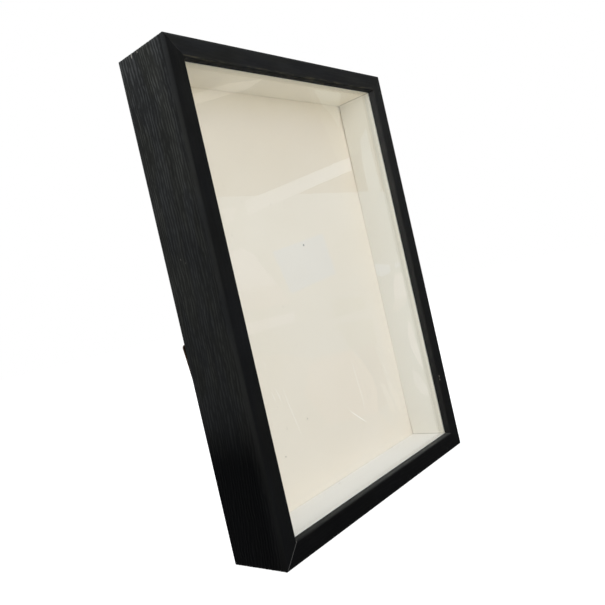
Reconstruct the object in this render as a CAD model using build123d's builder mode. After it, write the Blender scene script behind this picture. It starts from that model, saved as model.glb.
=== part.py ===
"""Wall and shelf display case for one pinned specimen, standing upright on its bottom rail.

A deep frame of mitred, rebated mouldings holds a glass pane, four card liners and a lift-out back.
The back is a pinning board with a paper face, glued to a hardboard panel, and turn clips hold it in.
Frame of the model: millimetres, +X to the right, +Y from the glass to the back, +Z up.
"""

import os

from build123d import *

# ---------------------------------------------------------------- driving dimensions
# The sheet size that glass, pinning board and backboard are cut to.
insert_width = 210.0
insert_height = 297.0
insert_clearance = 0.5  # from each edge of an insert to the rebate wall

# Frame moulding, an L in section.
wall = 8.0  # wood beside the rebate
lip_width = 13.2  # from the outer face to the sight edge
lip_thickness = 5.4  # from the front face to the glass
frame_depth = 43.5
front_edge_radius = 1.5
back_edge_radius = 1.0
sight_edge_radius = 1.0
corner_radius = 1.9  # the assembled frame's outer corners, sanded round

# What the rebate holds, from the front to the back.
glass_thickness = 2.0
glass_arris = 0.3
liner_thickness = 5.0
liner_wall_gap = 0.1
liner_back_gap = 0.1  # liners stop just short of the paper face
# The right liner's rear edge was cut off line at its head and its foot: (along, across) of each sliver.
head_sliver = (110.0, 0.9)
foot_sliver = (25.0, 0.6)
paper_thickness = 0.3
foam_thickness = 3.0
backboard_thickness = 2.0
backboard_recess = 0.2  # backboard below the frame's rear face
board_edge_radius = 2.0

# The hole that the last specimen pin left.
pin_hole_radius = 0.4
pin_hole_x = 13.0
pin_hole_z = 187.8

# Turn clips, pressed from sheet.
clip_thickness = 1.0
clip_gap = 0.1  # running gap between the clip and the wood
clip_head_radius = 3.0
clip_tip_radius = 2.2
clip_reach = 28.0  # from the screw to the end of the tip
clip_bead_width = 1.6
clip_bead_height = 0.5
clip_bead_inset = 2.0  # from the screw head to the bead
clip_line = 5.0  # from the frame's outer face to each clip's screw
stile_clip_from_end = 111.0  # from each end of a stile to the clip's screw
rail_clip_from_end = 53.5
clip_lean = 7.1  # degrees: one clip was turned a little past its stile
clip_running_clearance = 0.05

# Pan-head screws through the clips.
screw_shank_radius = 1.25
screw_head_radius = 2.4
screw_head_height = 1.9
screw_head_chamfer = 0.8
screw_length = 11.0
screw_point = 2.0
screw_recess_width = 0.7
screw_recess_length = 2.8
screw_recess_depth = 1.1
pilot_clearance = 0.02  # between a shank and its hole in the wood

# Sawtooth hanger on the top rail, a strip of sheet with a raised middle.
hanger_length = 42.0
hanger_width = 6.2
hanger_thickness = 0.8
hanger_foot = 7.0
hanger_ramp = 2.0
hanger_lift = 1.6
tooth_pitch = 2.0
tooth_depth = 1.2
tooth_count = 9
brad_radius = 0.6
brad_head_radius = 1.5
brad_head_thickness = 0.5
brad_length = 9.0

# V-nails across the mitres, driven in from the back.
v_nail_leg = 4.0
v_nail_thickness = 0.5
v_nail_height = 9.0
v_nail_inset = 5.6  # from each outer face to the apex
v_nail_slot_clearance = 0.02

# Rubber bumpers that hold the lower edge off the wall.
bumper_radius = 3.1
bumper_height = 3.4
bumper_edge_chamfer = 0.9
bumper_from_end = 17.0  # from each end of the bottom rail

# ---------------------------------------------------------------- what follows from them
half_width = insert_width / 2 + insert_clearance + wall
height = insert_height + 2 * (insert_clearance + wall)
middle = height / 2

screw_proud = clip_gap + clip_thickness + screw_head_height
hanger_proud = hanger_lift + hanger_thickness
rear_proud = max(bumper_height, screw_proud, hanger_proud)

# Stations along Y. The origin is the bottom centre of the whole case.
front = -(frame_depth + rear_proud) / 2
glass_front = front + lip_thickness
glass_back = glass_front + glass_thickness
frame_back = front + frame_depth
backboard_back = frame_back - backboard_recess
backboard_front = backboard_back - backboard_thickness
foam_front = backboard_front - foam_thickness
paper_front = foam_front - paper_thickness
liner_back = paper_front - liner_back_gap

os.makedirs("parts", exist_ok=True)


def save(piece, name):
    """Label a finished piece and write it under its name."""
    piece.part.label = name
    export_step(piece.part, f"parts/{name}.step")


def upright(y):
    """Plane at depth y with local x along +X, local y along +Z and its normal towards the front."""
    return Plane.XZ.offset(-y)


def member_planes(inset):
    """Section plane at mid-length of each side's member, its origin inset from the outer face.

    Local x points into the case and local y to the back, so one section serves all four sides.
    """
    side = half_width - inset
    return {
        "bottom": Plane((0, front, inset), x_dir=(0, 0, 1), z_dir=(-1, 0, 0)),
        "top": Plane((0, front, height - inset), x_dir=(0, 0, -1), z_dir=(1, 0, 0)),
        "left": Plane((-side, front, middle), x_dir=(1, 0, 0), z_dir=(0, 0, 1)),
        "right": Plane((side, front, middle), x_dir=(-1, 0, 0), z_dir=(0, 0, -1)),
    }


def member_length(side, inset):
    """Length of a side's member along its outer face, at the given inset."""
    return (2 * half_width if side in ("bottom", "top") else height) - 2 * inset


def mitre_ends(plane, length):
    """Cut both ends of the bar in the open builder at 45 degrees."""
    for end in (1, -1):
        at_end = plane.origin + plane.z_dir * (end * length / 2)
        split(bisect_by=Plane(at_end, z_dir=plane.x_dir + plane.z_dir * end), keep=Keep.BOTTOM)


def v_nail_outline(clearance):
    """Corner points of a V-nail seen from behind, in a corner that opens towards +x and +y."""
    inner = v_nail_inset + clearance
    outer = v_nail_inset - v_nail_thickness - clearance
    tip = v_nail_inset - v_nail_leg - clearance
    return (inner, inner), (tip, inner), (tip, outer), (outer, outer), (outer, tip), (inner, tip)


# Each corner of the frame, turned so that local +x and +y point into the case.
corners = [
    Location((-half_width, 0), 0),
    Location((half_width, 0), 90),
    Location((half_width, height), 180),
    Location((-half_width, height), 270),
]

# Turn clips: the screw's place in X and Z, and the way the tip points at rest, in degrees
# from +X towards +Z. All are turned back along the frame, so that the back is free.
stile_line = half_width - clip_line
top_line = height - clip_line
low = stile_clip_from_end
high = height - stile_clip_from_end
rail_clip_x = half_width - rail_clip_from_end
clips = {
    "clip_left_lower": (-stile_line, low, 90 + clip_lean),
    "clip_left_upper": (-stile_line, high, 90),
    "clip_right_lower": (stile_line, low, 90),
    "clip_right_upper": (stile_line, high, 90),
    "clip_top_left": (-rail_clip_x, top_line, 180),
    "clip_top_right": (rail_clip_x, top_line, 0),
    "clip_bottom_left": (-rail_clip_x, clip_line, 180),
    "clip_bottom_right": (rail_clip_x, clip_line, 0),
}
screw_places = [(x, z) for x, z, _ in clips.values()]

# Middle of the flat between a member's rounded back edge and the rebate.
flat_line = (wall + back_edge_radius) / 2
hanger_line = height - flat_line
brad_places = [(end * (hanger_length - hanger_foot) / 2, hanger_line) for end in (-1, 1)]

# ---------------------------------------------------------------- frame mouldings
rail_names = {"bottom": "bottom_rail", "top": "top_rail", "left": "left_stile", "right": "right_stile"}

for side, plane in member_planes(0).items():
    with BuildPart() as rail:
        with BuildSketch(plane) as section:
            with BuildLine():
                Polyline(
                    (0, 0),
                    (lip_width, 0),
                    (lip_width, lip_thickness),
                    (wall, lip_thickness),
                    (wall, frame_depth),
                    (0, frame_depth),
                    close=True,
                )
            make_face()
            fillet(section.vertices().sort_by_distance((lip_width, 0))[0], sight_edge_radius)
            fillet(section.vertices().sort_by_distance((0, 0))[0], front_edge_radius)
            fillet(section.vertices().sort_by_distance((0, frame_depth))[0], back_edge_radius)
        extrude(amount=member_length(side, 0) / 2, both=True)
        mitre_ends(plane, member_length(side, 0))

        # The outer corners, sanded round after gluing.
        with BuildSketch(upright(frame_back)):
            with Locations((0, middle)):
                RectangleRounded(2 * half_width, height, corner_radius)
        extrude(amount=frame_depth, mode=Mode.INTERSECT)

        # Slots that the V-nails cut for themselves.
        with BuildSketch(upright(frame_back)):
            with Locations(*corners):
                Polygon(*v_nail_outline(v_nail_slot_clearance), align=None)
        extrude(amount=v_nail_height + v_nail_slot_clearance, mode=Mode.SUBTRACT)

        # Pilot holes for the clip screws, and for the hanger's brads in the top rail.
        with BuildSketch(upright(frame_back)):
            with Locations(*screw_places):
                Circle(screw_shank_radius + pilot_clearance)
        extrude(amount=screw_length, mode=Mode.SUBTRACT)
        with BuildSketch(upright(frame_back)):
            with Locations(*brad_places):
                Circle(brad_radius + pilot_clearance)
        extrude(amount=brad_length, mode=Mode.SUBTRACT)
    save(rail, rail_names[side])

with BuildPart() as v_nails:
    with BuildSketch(upright(frame_back)):
        with Locations(*corners):
            Polygon(*v_nail_outline(0), align=None)
    extrude(amount=v_nail_height)
save(v_nails, "corner_v_nails")

# ---------------------------------------------------------------- glass
with BuildPart() as glass:
    with BuildSketch(upright(glass_back)):
        with Locations((0, middle)):
            Rectangle(insert_width, insert_height)
    extrude(amount=glass_thickness)
    chamfer(glass.edges().group_by(Axis.Y)[0] + glass.edges().group_by(Axis.Y)[-1], glass_arris)
save(glass, "glass_pane")

# ---------------------------------------------------------------- card liners
liner_inset = wall + liner_wall_gap

for side, plane in member_planes(liner_inset).items():
    length = member_length(side, liner_inset)
    with BuildPart() as liner:
        with BuildSketch(plane):
            with Locations((0, glass_back - front)):
                Rectangle(liner_thickness, liner_back - glass_back, align=Align.MIN)
        extrude(amount=length / 2, both=True)
        if side == "right":
            # Slivers off the rear edge, cut square through the card's thickness.
            end = length / 2 - liner_thickness
            with BuildSketch(Plane(plane.origin, x_dir=(0, 1, 0), z_dir=(1, 0, 0))):
                for way, (along, across) in ((1, head_sliver), (-1, foot_sliver)):
                    with Locations((liner_back - front, way * end)):
                        Polygon((0, -way * along), (0, way * liner_thickness), (-across, way * liner_thickness),
                                (-across, 0), align=None)
            extrude(amount=liner_thickness, both=True, mode=Mode.SUBTRACT)
        mitre_ends(plane, length)
    save(liner, f"{side}_liner")

# ---------------------------------------------------------------- lift-out back
with BuildPart() as paper:
    with BuildSketch(upright(foam_front)):
        with Locations((0, middle)):
            Rectangle(insert_width, insert_height)
        with Locations((pin_hole_x, pin_hole_z)):
            Circle(pin_hole_radius, mode=Mode.SUBTRACT)
    extrude(amount=paper_thickness)
save(paper, "facing_paper")

with BuildPart() as foam:
    with BuildSketch(upright(backboard_front)):
        with Locations((0, middle)):
            Rectangle(insert_width, insert_height)
        with Locations((pin_hole_x, pin_hole_z)):
            Circle(pin_hole_radius, mode=Mode.SUBTRACT)
    extrude(amount=foam_thickness)
save(foam, "pinning_board")

with BuildPart() as backboard:
    with BuildSketch(upright(backboard_back)):
        with Locations((0, middle)):
            RectangleRounded(insert_width, insert_height, board_edge_radius)
    extrude(amount=backboard_thickness)
save(backboard, "backboard")

# ---------------------------------------------------------------- turn clips and their screws
clip_rear = frame_back + clip_gap + clip_thickness
bead_start = screw_head_radius + clip_bead_inset
bead_end = clip_reach - clip_tip_radius - clip_bead_width / 2
bead_taper = 30  # degrees

for name, (x, z, angle) in clips.items():
    pointing = Vector(1, 0, 0).rotate(Axis.Y, -angle)
    pressed = Plane((x, clip_rear, z), x_dir=pointing, z_dir=(0, -1, 0))
    with BuildPart() as clip:
        with BuildSketch(pressed):
            Circle(clip_head_radius)
            with Locations((clip_reach - clip_tip_radius, 0)):
                Circle(clip_tip_radius)
            make_hull()
            Circle(screw_shank_radius + clip_running_clearance, mode=Mode.SUBTRACT)
        extrude(amount=clip_thickness)

        # A stiffening bead pressed along the arm.
        with BuildSketch(pressed):
            with Locations(((bead_start + bead_end) / 2, 0)):
                SlotOverall(bead_end - bead_start, clip_bead_width)
        extrude(amount=-clip_bead_height, taper=bead_taper)
    save(clip, name)

# One screw about the origin with its head's seat at y = 0 and its head towards +Y.
with BuildPart() as screw:
    with BuildSketch(Plane.XY) as half_screw:
        with BuildLine():
            Polyline(
                (0, screw_head_height),
                (0, -screw_length),
                (screw_shank_radius, screw_point - screw_length),
                (screw_shank_radius, 0),
                (screw_head_radius, 0),
                (screw_head_radius, screw_head_height),
                close=True,
            )
        make_face()
        rim = half_screw.vertices().sort_by_distance((screw_head_radius, screw_head_height))[0]
        chamfer(rim, screw_head_chamfer)
    revolve(axis=Axis.Y)
    with BuildSketch(upright(screw_head_height)):
        Rectangle(screw_recess_length, screw_recess_width)
        Rectangle(screw_recess_width, screw_recess_length)
    extrude(amount=screw_recess_depth, mode=Mode.SUBTRACT)

with BuildPart() as clip_screws:
    with Locations(*[(x, clip_rear, z) for x, z in screw_places]):
        add(screw.part)
save(clip_screws, "clip_screws")

# ---------------------------------------------------------------- sawtooth hanger
with BuildPart() as hanger:
    foot_end = hanger_length / 2 - hanger_foot
    bar_end = foot_end - hanger_ramp
    with BuildSketch(Plane.XY.offset(hanger_line)):
        with BuildLine(Plane.XY):
            Polyline(
                (-hanger_length / 2, frame_back),
                (-foot_end, frame_back),
                (-bar_end, frame_back + hanger_lift),
                (bar_end, frame_back + hanger_lift),
                (foot_end, frame_back),
                (hanger_length / 2, frame_back),
                (hanger_length / 2, frame_back + hanger_thickness),
                (foot_end, frame_back + hanger_thickness),
                (bar_end, frame_back + hanger_proud),
                (-bar_end, frame_back + hanger_proud),
                (-foot_end, frame_back + hanger_thickness),
                (-hanger_length / 2, frame_back + hanger_thickness),
                close=True,
            )
        make_face()
    extrude(amount=hanger_width / 2, both=True)
    with BuildSketch(upright(frame_back + hanger_proud)):
        with Locations((0, hanger_line - hanger_width / 2)):
            with GridLocations(tooth_pitch, 0, tooth_count, 1):
                Polygon((-tooth_pitch / 2, 0), (0, tooth_depth), (tooth_pitch / 2, 0), align=None)
    extrude(amount=hanger_proud, mode=Mode.SUBTRACT)
    with BuildSketch(upright(frame_back + hanger_thickness)):
        with Locations(*brad_places):
            Circle(brad_radius + pilot_clearance)
    extrude(amount=hanger_thickness, mode=Mode.SUBTRACT)
save(hanger, "sawtooth_hanger")

with BuildPart() as brads:
    with BuildSketch(upright(frame_back + hanger_thickness + brad_head_thickness)):
        with Locations(*brad_places):
            Circle(brad_head_radius)
    extrude(amount=brad_head_thickness)
    with BuildSketch(upright(frame_back + hanger_thickness)):
        with Locations(*brad_places):
            Circle(brad_radius)
    extrude(amount=brad_length)
save(brads, "hanger_brads")

# ---------------------------------------------------------------- wall bumpers
with BuildPart() as bumpers:
    with BuildSketch(upright(frame_back + bumper_height)):
        with Locations(*[(end * (half_width - bumper_from_end), flat_line) for end in (-1, 1)]):
            Circle(bumper_radius)
    extrude(amount=bumper_height)
    chamfer(bumpers.edges().group_by(Axis.Y)[-1], bumper_edge_chamfer)
save(bumpers, "wall_bumpers")

print(f"outer {2 * half_width:.1f} x {height:.1f} x {frame_depth:.1f} mm, front at y {front:.2f}")
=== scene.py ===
"""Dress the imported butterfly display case: grained mouldings, pane, card liners and back fittings."""

import logging
import math
from abc import ABC, abstractmethod
from dataclasses import dataclass, fields
from enum import Enum

import bmesh
import bpy
from mathutils import Euler, Matrix, Vector


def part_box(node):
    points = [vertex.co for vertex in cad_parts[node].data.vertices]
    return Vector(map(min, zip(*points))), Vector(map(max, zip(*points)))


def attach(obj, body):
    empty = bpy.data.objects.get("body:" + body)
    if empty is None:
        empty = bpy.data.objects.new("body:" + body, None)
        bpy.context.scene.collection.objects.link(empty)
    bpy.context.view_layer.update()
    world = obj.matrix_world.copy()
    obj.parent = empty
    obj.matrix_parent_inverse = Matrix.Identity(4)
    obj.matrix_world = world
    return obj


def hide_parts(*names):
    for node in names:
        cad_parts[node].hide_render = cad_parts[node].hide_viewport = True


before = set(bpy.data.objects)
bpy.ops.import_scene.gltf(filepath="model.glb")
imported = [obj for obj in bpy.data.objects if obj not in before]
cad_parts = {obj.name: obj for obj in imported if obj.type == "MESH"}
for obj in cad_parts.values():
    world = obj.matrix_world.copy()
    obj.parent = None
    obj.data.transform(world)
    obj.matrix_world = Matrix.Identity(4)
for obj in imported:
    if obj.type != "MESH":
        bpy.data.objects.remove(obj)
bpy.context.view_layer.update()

LOG = logging.getLogger("display_case")
MM = 0.001
Socket = bpy.types.NodeSocket
Colour = tuple[float, float, float]
Place = tuple[float, float, float]
Pair = tuple[float, float]
WHITE: Colour = (1.0, 1.0, 1.0)


class Body(Enum):
    """The rigid bodies that pieces ride on."""

    CASE = "case"
    BACK = "back"


class Side(Enum):
    """A side of the case: the way into the case from it, and the way along its member."""

    BOTTOM = (Vector((0, 0, 1)), Vector((-1, 0, 0)))
    TOP = (Vector((0, 0, -1)), Vector((1, 0, 0)))
    LEFT = (Vector((1, 0, 0)), Vector((0, 0, 1)))
    RIGHT = (Vector((-1, 0, 0)), Vector((0, 0, -1)))

    @property
    def inward(self) -> Vector:
        """Unit vector from the member's outer face into the case."""
        return self.value[0]

    @property
    def along(self) -> Vector:
        """Unit vector along the member."""
        return self.value[1]

    @property
    def upright(self) -> bool:
        """Whether its member stands upright."""
        return self in (Side.LEFT, Side.RIGHT)


# ------------------------------------------------------------------ node wiring
class Board:
    """A node tree being wired, for shaders and for geometry alike.

    A value is a socket, which is linked, or a plain number, vector or colour, which is written down.
    """

    def __init__(self, tree: bpy.types.NodeTree) -> None:
        """Take the node tree to wire."""
        self.tree = tree

    def feed(self, target: Socket, value: object) -> None:
        """Give a value to a node's input.

        Args:
            target: The input's socket.
            value: What it gets; a colour of three numbers is opaque.
        """
        if isinstance(value, bpy.types.NodeSocket):
            self.tree.links.new(value, target)
        else:
            opaque = target.type == "RGBA" and len(value) == 3
            target.default_value = (*value, 1.0) if opaque else value

    def wire(self, kind: str, values: dict[str | int, object] | None = None, out: str | int = 0,
             **settings: object) -> Socket:
        """Add a node.

        Args:
            kind: The node's type name.
            values: What its inputs get, by their names or numbers.
            out: The output that is wanted, by its name or number.
            settings: Attributes to set on the node.

        Returns:
            That output's socket.
        """
        node = self.tree.nodes.new(kind)
        for name, setting in settings.items():
            setattr(node, name, setting)
        for name, value in (values or {}).items():
            self.feed(node.inputs[name], value)
        return node.outputs[out]

    def math(self, operation: str, *values: object) -> Socket:
        """Work out a number from one, two or three."""
        return self.wire("ShaderNodeMath", dict(enumerate(values)), operation=operation)

    def plus(self, a: object, b: object) -> Socket:
        """Add two numbers."""
        return self.math("ADD", a, b)

    def less(self, a: object, b: object) -> Socket:
        """Take the second number from the first."""
        return self.math("SUBTRACT", a, b)

    def times(self, product: object, *factors: object) -> Socket:
        """Multiply numbers.

        Args:
            product: The first of them.
            factors: The others, in turn.

        Returns:
            The product's socket.
        """
        for factor in factors:
            product = self.math("MULTIPLY", product, factor)
        return product

    def vector(self, x: object, y: object, z: object) -> Socket:
        """Join three numbers into a vector."""
        return self.wire("ShaderNodeCombineXYZ", {0: x, 1: y, 2: z})

    def vectors(self, operation: str, a: object, b: object, out: str = "Vector") -> Socket:
        """Work out a vector from two, or a number where out is Value."""
        return self.wire("ShaderNodeVectorMath", {0: a, 1: b}, out, operation=operation)

    def height_of(self, place: Socket) -> Socket:
        """Take the third number of a vector."""
        return self.wire("ShaderNodeSeparateXYZ", {0: place}, "Z")

    def noise(self, vector: object, scale: float, detail: float = 2.0, roughness: float = 0.5) -> Socket:
        """Add a noise texture.

        Args:
            vector: Where it is read.
            scale: Features per unit of that vector.
            detail: Octaves.
            roughness: Share of each finer octave.

        Returns:
            The socket of its 0 to 1 value.
        """
        looks = {"Vector": vector, "Scale": scale, "Detail": detail, "Roughness": roughness}
        return self.wire("ShaderNodeTexNoise", looks)

    def ramp(self, value: object, low: object, high: object, to_low: object = 0.0,
             to_high: object = 1.0) -> Socket:
        """Map a number from low..high to to_low..to_high, clamped and eased at both ends."""
        values = dict(enumerate((value, low, high, to_low, to_high)))
        return self.wire("ShaderNodeMapRange", values, interpolation_type="SMOOTHSTEP")

    def blend(self, share: object, a: object, b: object, mode: str = "MIX") -> Socket:
        """Mix two colours.

        Args:
            share: Share of b.
            a: First colour.
            b: Second colour.
            mode: The blend type.

        Returns:
            The mixed colour's socket.
        """
        # The node's colours are its inputs 6 and 7 and its output 2; the others serve other kinds.
        return self.wire("ShaderNodeMix", {0: share, 6: a, 7: b}, 2, data_type="RGBA", blend_type=mode)

    def scaled(self, colour: object, factor: object) -> Socket:
        """Multiply a colour or a vector by a number."""
        return self.wire("ShaderNodeVectorMath", {0: colour, "Scale": factor}, operation="SCALE")

    def ray(self, *kinds: str) -> Socket:
        """Say whether the ray being traced is of one of some kinds.

        Args:
            kinds: The kinds, by the names of their outputs.

        Returns:
            The answer's socket, 0 or 1.
        """
        path = self.tree.nodes.new("ShaderNodeLightPath").outputs
        met = path[kinds[0]]
        for kind in kinds[1:]:
            met = self.math("MAXIMUM", met, path[kind])
        return met

    def either(self, second_share: Socket, first: Socket, second: Socket) -> Socket:
        """Mix two shaders."""
        return self.wire("ShaderNodeMixShader", {0: second_share, 1: first, 2: second})


class Finish(Board):
    """A procedural material under construction, with one Principled shader, painted coat by coat."""

    def __init__(self, name: str, specular: float) -> None:
        """Start a material.

        Args:
            name: The material's name.
            specular: Constant specular level.
        """
        self.material = bpy.data.materials.new(name)
        self.material.use_nodes = True
        super().__init__(self.material.node_tree)
        self.shader = self.tree.nodes["Principled BSDF"]
        self.surface = self.tree.nodes["Material Output"].inputs["Surface"]
        self.colour: object = WHITE
        self.set(Specular_IOR_Level=specular)

    def set(self, **values: object) -> None:
        """Feed the shader's inputs, named with _ for a space."""
        for name, value in values.items():
            self.feed(self.shader.inputs[name.replace("_", " ")], value)

    def coat(self, share: object, colour: object) -> None:
        """Lay a share of a colour over the coats so far."""
        self.colour = self.blend(share, self.colour, colour)

    def tint(self, share: object, tint: object) -> None:
        """Multiply the coats so far by a share of a colour."""
        self.coat(share, self.blend(1.0, self.colour, tint, "MULTIPLY"))

    def place(self) -> Socket:
        """Object coordinates, in metres."""
        return self.wire("ShaderNodeTexCoord", out="Object")

    def stretched(self, scale: Place) -> Socket:
        """Object coordinates multiplied by a scale for each axis."""
        return self.vectors("MULTIPLY", self.place(), scale)

    def attribute(self, name: str, out: str = "Fac") -> Socket:
        """Value of a named attribute of the mesh."""
        return self.wire("ShaderNodeAttribute", out=out, attribute_name=name)

    def along_grain(self, grain: Pair) -> Socket:
        """A member's own coordinates, times the features per mm round its section and along it."""
        return self.vectors("MULTIPLY", self.attribute("lay", "Vector"), (*grain, 1.0))

    def round_hole(self, centre: Pair, rim: Pair) -> Socket:
        """Say how close a place is to a hole bored from the front.

        Args:
            centre: The hole's place across and up, in mm.
            rim: Distances within which the share is 1 and from which it is 0, in mm.

        Returns:
            The share's socket.
        """
        middle = (centre[0] * MM, 0.0, centre[1] * MM)
        apart = self.vectors("DISTANCE", self.stretched((1.0, 0.0, 1.0)), middle, "Value")
        return self.ramp(apart, rim[0] * MM, rim[1] * MM, 1.0, 0.0)

    def bump(self, height: Socket, depth_mm: float, strength: float) -> None:
        """Give the surface a fine relief.

        Args:
            height: Height field, 0 to 1.
            depth_mm: Depth that 0 to 1 stands for.
            strength: Share of the effect.
        """
        relief = {"Strength": strength, "Distance": depth_mm * MM, "Height": height}
        self.set(Normal=self.wire("ShaderNodeBump", relief))


# ------------------------------------------------------------------ finishes
@dataclass(frozen=True, kw_only=True)
class Surface(ABC):
    """A finish of the case, made a material by its own way of painting."""

    name: str
    specular: float = 0.5

    def make(self) -> bpy.types.Material:
        """Build the material.

        Returns:
            The finished material.
        """
        finish = Finish(self.name, self.specular)
        self.paint(finish)
        return finish.material

    @abstractmethod
    def paint(self, f: Finish) -> None:
        """Wire the finish.

        Args:
            f: The material under construction.
        """


@dataclass(frozen=True)
class Nick:
    """A small pale nick: its place and radius in mm, and how much of it is bare."""

    x: float
    y: float
    z: float
    radius: float
    bared: float


@dataclass(frozen=True, kw_only=True)
class BlackGrain(Surface):
    """Black stain on open-grain wood: brushed, gone grey outside, worn brown at the sight edge.

    Painted light makes the outer side lighter than the front, and each bar lighter or darker along it.
    A grain is in features per mm, round the section and along the bar. A seam's stain, and an open
    mitre's pale fill with its painted glint, each fade out between two distances off the glue line, in mm.
    """

    name: str = "black_grain"
    specular: float = 0.014
    dense: Colour = (0.0008, 0.0009, 0.0011)
    fade_and_light: Colour = (0.0400, 0.0412, 0.0400)
    flat_fade_and_light: Colour = (0.0140, 0.0144, 0.0148)
    cool: Colour = (0.98, 1.00, 1.04)
    warm: Colour = (1.01, 1.02, 0.97)
    dust: Colour = (0.0770, 0.0780, 0.0775)
    worn: Colour = (0.046, 0.042, 0.030)
    filler_and_glint: Colour = (0.120, 0.119, 0.115)
    bare: Colour = (0.30, 0.28, 0.25)
    fibre_grain: Pair = (2.6, 0.14)
    cloud_grain: Pair = (0.14, 0.035)
    hue_grain: Pair = (0.10, 0.030)
    stroke_grain: Pair = (1.3, 0.09)
    pore_grain: Pair = (6.0, 0.42)
    groove_tone: float = 0.45
    seam: Pair = (0.08, 0.26)
    pale_reach: Pair = (0.26, 0.50)
    pale_middle: float = 0.56
    lip: float = 13.2
    nick_squash: float = 0.35
    nicks: tuple[Nick, ...] = (
        Nick(-113.5, 6.5, 311.8, 0.60, 0.6), Nick(-113.5, 0.7, 312.0, 0.34, 0.6),
        Nick(-113.5, 4.8, 188.5, 0.30, 0.22), Nick(-113.5, 1.4, 185.8, 0.26, 0.20),
        Nick(102.2, -23.45, 60.6, 0.36, 0.9), Nick(102.2, -23.45, 57.9, 0.32, 0.9),
    )

    def paint(self, f: Finish) -> None:
        """Stain the wood, then rub, nick and mitre it.

        Args:
            f: The material under construction.
        """
        fibre = f.noise(f.along_grain(self.fibre_grain), 1.0, 3.0, 0.6)
        tone = f.plus(f.times(f.attribute("grain"), 0.8), f.times(fibre, 0.4))
        self.stain(f, tone)
        self.rub(f)
        self.nick(f)
        self.mitre(f)
        f.set(Base_Color=f.colour, Roughness=f.ramp(tone, 0.2, 0.9, 0.60, 0.47))
        f.bump(f.noise(f.along_grain(self.pore_grain), 1.0, 3.0, 0.6), 0.07, 0.6)

    def stain(self, f: Finish, tone: Socket) -> None:
        """Fade the stain on the ribs and paint light outside; keep the grooves dark and dust the reveal.

        Args:
            f: The material under construction.
            tone: The grain's tone, 0 in a groove.
        """
        groove = f.times(f.ramp(tone, 0.29, 0.88, 1.0, 0.0), f.attribute("relief"),
                         f.ramp(f.attribute("fade_and_light"), 0.45, 0.95, 0.78, 1.0))
        ribs = f.less(1.0, f.times(groove, 1 - self.groove_tone))
        mottle = f.noise(f.along_grain(self.cloud_grain), 1.0, 3.0, 0.55)
        clouds = f.ramp(mottle, 0.34, 0.68, 0.84, 1.12)
        # Painted light: the outer side takes the lighter colour, the front the darker one.
        fade_and_light = f.blend(f.attribute("ribbed_and_lit"), self.flat_fade_and_light, self.fade_and_light)
        f.colour = self.dense
        f.coat(f.attribute("fade_and_light"), f.scaled(fade_and_light, f.times(ribs, clouds)))
        hue = f.ramp(f.noise(f.along_grain(self.hue_grain), 1.0, 2.0), 0.38, 0.62)
        f.tint(1.0, f.blend(hue, self.cool, self.warm))
        f.coat(f.attribute("dusty"), self.dust)

    def rub(self, f: Finish) -> None:
        """Rub the stain off the sight edge to brown, in short strokes along it.

        Args:
            f: The material under construction.
        """
        strokes = f.ramp(f.noise(f.along_grain(self.stroke_grain), 1.0, 4.0, 0.65), 0.46, 0.66)
        f.coat(f.times(strokes, f.attribute("sight_edge"), f.attribute("wear")), self.worn)

    def nick(self, f: Finish) -> None:
        """Add the pale nicks, each at its own place and with a ragged rim.

        Args:
            f: The material under construction.
        """
        ragged = f.times(f.less(f.noise(f.place(), 2600.0, 2.0), 0.5), 0.9)
        squashed = f.stretched((1.0, 1.0, self.nick_squash))
        for nick in self.nicks:
            middle = (nick.x * MM, nick.y * MM, self.nick_squash * nick.z * MM)
            off = f.math("DIVIDE", f.vectors("DISTANCE", squashed, middle, "Value"), nick.radius * MM)
            f.coat(f.times(f.ramp(f.plus(off, ragged), 0.75, 1.05, 1.0, 0.0), nick.bared), self.bare)

    def mitre(self, f: Finish) -> None:
        """Draw each mitre's glue line dark, and pale over the share that is open: fill, with a painted
        glint along the seam.

        Args:
            f: The material under construction.
        """
        off, share = f.attribute("mitre_distance"), f.attribute("open_mitre_and_glint")
        f.coat(f.times(f.ramp(off, *self.seam, 1.0, 0.0), 0.6), self.dense)
        place = f.math("DIVIDE", f.attribute("inward"), self.lip)
        from_middle = f.math("ABSOLUTE", f.less(place, self.pale_middle))
        gap = f.times(f.ramp(f.less(from_middle, f.times(share, 0.5)), 0.0, 0.10, 1.0, 0.0),
                      f.ramp(off, *self.pale_reach, 1.0, 0.0), f.ramp(share, 0.0, 1.0, 0.0, 0.9))
        # Painted glint along the seam, with pale fill, over the open share of the mitre.
        f.coat(gap, self.filler_and_glint)


@dataclass(frozen=True, kw_only=True)
class ClearPane(Surface):
    """Float glass that lets lamplight through to what is behind it."""

    name: str = "clear_pane"
    tint: Colour = (0.975, 0.985, 0.978)
    passing: Colour = (0.94, 0.95, 0.94)
    ior: float = 1.5

    def paint(self, f: Finish) -> None:
        """Make the glass clear, and clearer still to lamplight.

        Args:
            f: The material under construction.
        """
        f.set(Base_Color=self.tint, Roughness=0.0, IOR=self.ior, Transmission_Weight=1.0)
        clear = f.wire("ShaderNodeBsdfTransparent", {0: self.passing})
        lamplight = f.ray("Is Shadow Ray", "Is Diffuse Ray")
        f.feed(f.surface, f.either(lamplight, f.shader.outputs[0], clear))


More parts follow.
